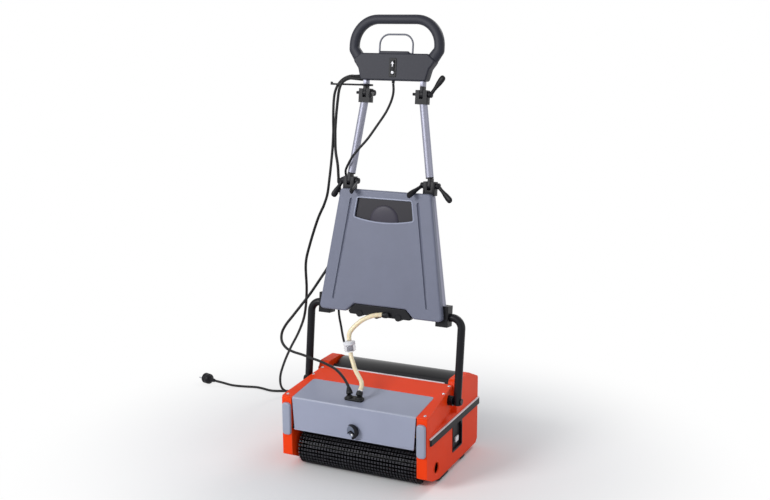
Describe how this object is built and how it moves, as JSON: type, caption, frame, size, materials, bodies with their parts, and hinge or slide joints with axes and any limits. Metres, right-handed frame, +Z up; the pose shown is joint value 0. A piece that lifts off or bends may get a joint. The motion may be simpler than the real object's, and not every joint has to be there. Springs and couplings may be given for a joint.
{
  "type": "twin brush floor scrubber",
  "caption": "Walk-behind floor washer with two brush rollers, a pick-up drum, a drawer tank and a folding handle that carries a clean water tank.",
  "frame": {"origin": "on the floor under the middle of the machine's base, cord left out", "axes": "+Z up, -Y to the front cover, +X to the drawer side; the handle leans back towards +Y"},
  "size_m": [1.0992, 0.658, 1.2511],
  "materials": {
    "orange_paint": "satin orange moulding and painted plate",
    "cover_grey": "satin grey moulding",
    "tank_grey": "satin grey blow-moulded plastic",
    "head_dark": "textured dark grey plastic",
    "black_plastic": "matt black plastic",
    "black_steel": "semi-gloss black powder coat",
    "aluminium_tube": "satin anodised tube",
    "steel": "brushed steel",
    "brass": "turned bearing bronze",
    "rubber": "matt black rubber",
    "bristle": "black nylon bristle",
    "hose_yellow": "semi-clear yellow hose",
    "cord_black": "black cable sheath",
    "pad_blue": "pale blue-grey soft plastic",
    "drum_black": "smooth black plastic",
    "valve_clear": "milky clear plastic",
    "white_plastic": "white plastic"
  },
  "bodies": {
    "base": {"bearing_plates": "orange_paint", "side_housing_left": "orange_paint", "side_housing_right": "orange_paint", "chassis_bars": "black_steel", "hood_frame": "orange_paint", "front_cover": "cover_grey", "corner_pads": "pad_blue", "bumper_strips": "rubber", "side_skirts": "rubber", "cable_gland": "black_plastic", "handle_pivots": "black_plastic", "tank_bezel": "black_plastic", "drum_scraper": "steel", "spray_bar": "brass", "motor_casing": "black_steel", "drive_belts": "rubber", "shaft_bushes": "brass", "housing_screws": "steel", "motor_lead": "cord_black", "mains_cord": "cord_black", "mains_coil": "cord_black", "mains_plug": "cord_black", "solution_hose": "hose_yellow"},
    "recovery_drawer": {"recovery_tank": "tank_grey"},
    "drawer_latch": {"tank_latch": "white_plastic"},
    "catch": {"cover_catch": "black_plastic"},
    "motor_shaft": {"motor_rotor": "steel"},
    "countershaft": {"counter_gear": "steel"},
    "front_brush": {"front_brush_core": "head_dark", "front_brush_bristles": "bristle", "front_brush_pulley": "steel"},
    "rear_brush": {"rear_brush_core": "head_dark", "rear_brush_bristles": "bristle", "rear_brush_pulley": "steel"},
    "drum": {"conveyor_drum": "drum_black", "drum_pulley": "steel"},
    "column": {"u_frame": "black_steel", "lower_tubes": "aluminium_tube", "tube_clamps": "black_plastic", "solution_tank": "tank_grey", "tank_window": "head_dark", "tank_outlet": "black_plastic", "lower_collars": "black_plastic", "hose_filter": "valve_clear", "control_cable": "cord_black"},
    "cap": {"filler_cap": "black_plastic"},
    "lever_left_inner": {"lever_left_inner": "black_plastic"},
    "lever_left_outer": {"lever_left_outer": "black_plastic"},
    "lever_right_inner": {"lever_right_inner": "black_plastic"},
    "lever_right_outer": {"lever_right_outer": "black_plastic"},
    "upper_column": {"upper_tubes": "aluminium_tube", "knuckles": "black_plastic"},
    "head": {"handle_head": "head_dark", "cord_exit": "black_plastic", "cord_hook": "black_steel"},
    "bail": {"bail": "steel"},
    "switch": {"rocker_switch": "black_plastic"},
    "head_lever_left": {"head_lever_left": "black_plastic"},
    "head_lever_right": {"head_lever_right": "black_plastic"}
  },
  "joints": [
    {"name": "front_brush_spin", "type": "hinge", "parent": "base", "child": "front_brush", "pos_m": [0, -0.124, 0.052], "axis": [1, 0, 0], "continuous": true},
    {"name": "motor_spin", "type": "hinge", "parent": "base", "child": "motor_shaft", "pos_m": [0, -0.062, 0.13], "axis": [1, 0, 0], "continuous": true},
    {"name": "countershaft_spin", "type": "hinge", "parent": "base", "child": "countershaft", "pos_m": [0, -0.01285, 0.09559], "axis": [1, 0, 0], "continuous": true},
    {"name": "rear_brush_spin", "type": "hinge", "parent": "base", "child": "rear_brush", "pos_m": [0, 0.124, 0.052], "axis": [1, 0, 0], "continuous": true},
    {"name": "drum_spin", "type": "hinge", "parent": "base", "child": "drum", "pos_m": [0, 0.11, 0.1745], "axis": [1, 0, 0], "continuous": true},
    {"name": "handle_tilt", "type": "hinge", "parent": "base", "child": "column", "pos_m": [0, -0.01, 0.205], "axis": [-1, 0, 0], "range_deg": [-7, 45], "deforming": ["motor_lead", "mains_cord", "solution_hose"]},
    {"name": "column_fold", "type": "hinge", "parent": "column", "child": "upper_column", "pos_m": [0, 0.05343, 0.79063], "axis": [-1, 0, 0], "range_deg": [0, 90], "deforming": ["motor_lead", "mains_cord", "control_cable"]},
    {"name": "head_tilt", "type": "hinge", "parent": "upper_column", "child": "head", "pos_m": [0, 0.08336, 1.03581], "axis": [-1, 0, 0], "range_deg": [-30, 40], "deforming": ["motor_lead", "mains_cord", "control_cable"]},
    {"name": "lever_left_inner_turn", "type": "hinge", "parent": "column", "child": "lever_left_inner", "pos_m": [0, 0.05343, 0.79063], "axis": [-1, 0, 0], "range_deg": [0, 100]},
    {"name": "lever_left_outer_turn", "type": "hinge", "parent": "column", "child": "lever_left_outer", "pos_m": [0, 0.05343, 0.79063], "axis": [-1, 0, 0], "range_deg": [0, 100]},
    {"name": "lever_right_inner_turn", "type": "hinge", "parent": "column", "child": "lever_right_inner", "pos_m": [0, 0.05343, 0.79063], "axis": [-1, 0, 0], "range_deg": [0, 100]},
    {"name": "lever_right_outer_turn", "type": "hinge", "parent": "column", "child": "lever_right_outer", "pos_m": [0, 0.05343, 0.79063], "axis": [-1, 0, 0], "range_deg": [0, 100]},
    {"name": "head_lever_left_turn", "type": "hinge", "parent": "upper_column", "child": "head_lever_left", "pos_m": [0, 0.08336, 1.03581], "axis": [1, 0, 0], "range_deg": [0, 70]},
    {"name": "head_lever_right_turn", "type": "hinge", "parent": "upper_column", "child": "head_lever_right", "pos_m": [0, 0.08336, 1.03581], "axis": [1, 0, 0], "range_deg": [-60, 60]},
    {"name": "bail_pull", "type": "hinge", "parent": "head", "child": "bail", "pos_m": [0, 0.09572, 1.13706], "axis": [-1, 0, 0], "range_deg": [0, 25], "stiffness_Nm_per_rad": 0.3},
    {"name": "switch_rock", "type": "hinge", "parent": "head", "child": "switch", "pos_m": [0, 0.07894, 1.10687], "axis": [1, 0, 0], "range_deg": [-8, 0]},
    {"name": "filler_cap_turn", "type": "hinge", "parent": "column", "child": "cap", "pos_m": [0, 0.09349, 0.70615], "axis": [0, 0.9926, -0.1212], "range_deg": [0, 90]},
    {"name": "cover_catch_turn", "type": "hinge", "parent": "base", "child": "catch", "pos_m": [0, -0.19, 0.146], "axis": [0, 1, 0], "range_deg": [0, 90]},
    {"name": "recovery_tank_slide", "type": "slide", "parent": "base", "child": "recovery_drawer", "axis": [1, 0, 0], "range_m": [0, 0.38]},
    {"name": "tank_latch_slide", "type": "slide", "parent": "recovery_drawer", "child": "drawer_latch", "axis": [0, 0, 1], "range_m": [0, 0.004], "stiffness_N_per_m": 300}
  ],
  "couplings": [
    {"joint": "motor_spin", "follows": "front_brush_spin", "ratio": 2},
    {"joint": "countershaft_spin", "follows": "front_brush_spin", "ratio": -1},
    {"joint": "rear_brush_spin", "follows": "front_brush_spin", "ratio": -1},
    {"joint": "drum_spin", "follows": "front_brush_spin", "ratio": 0.53333}
  ]
}
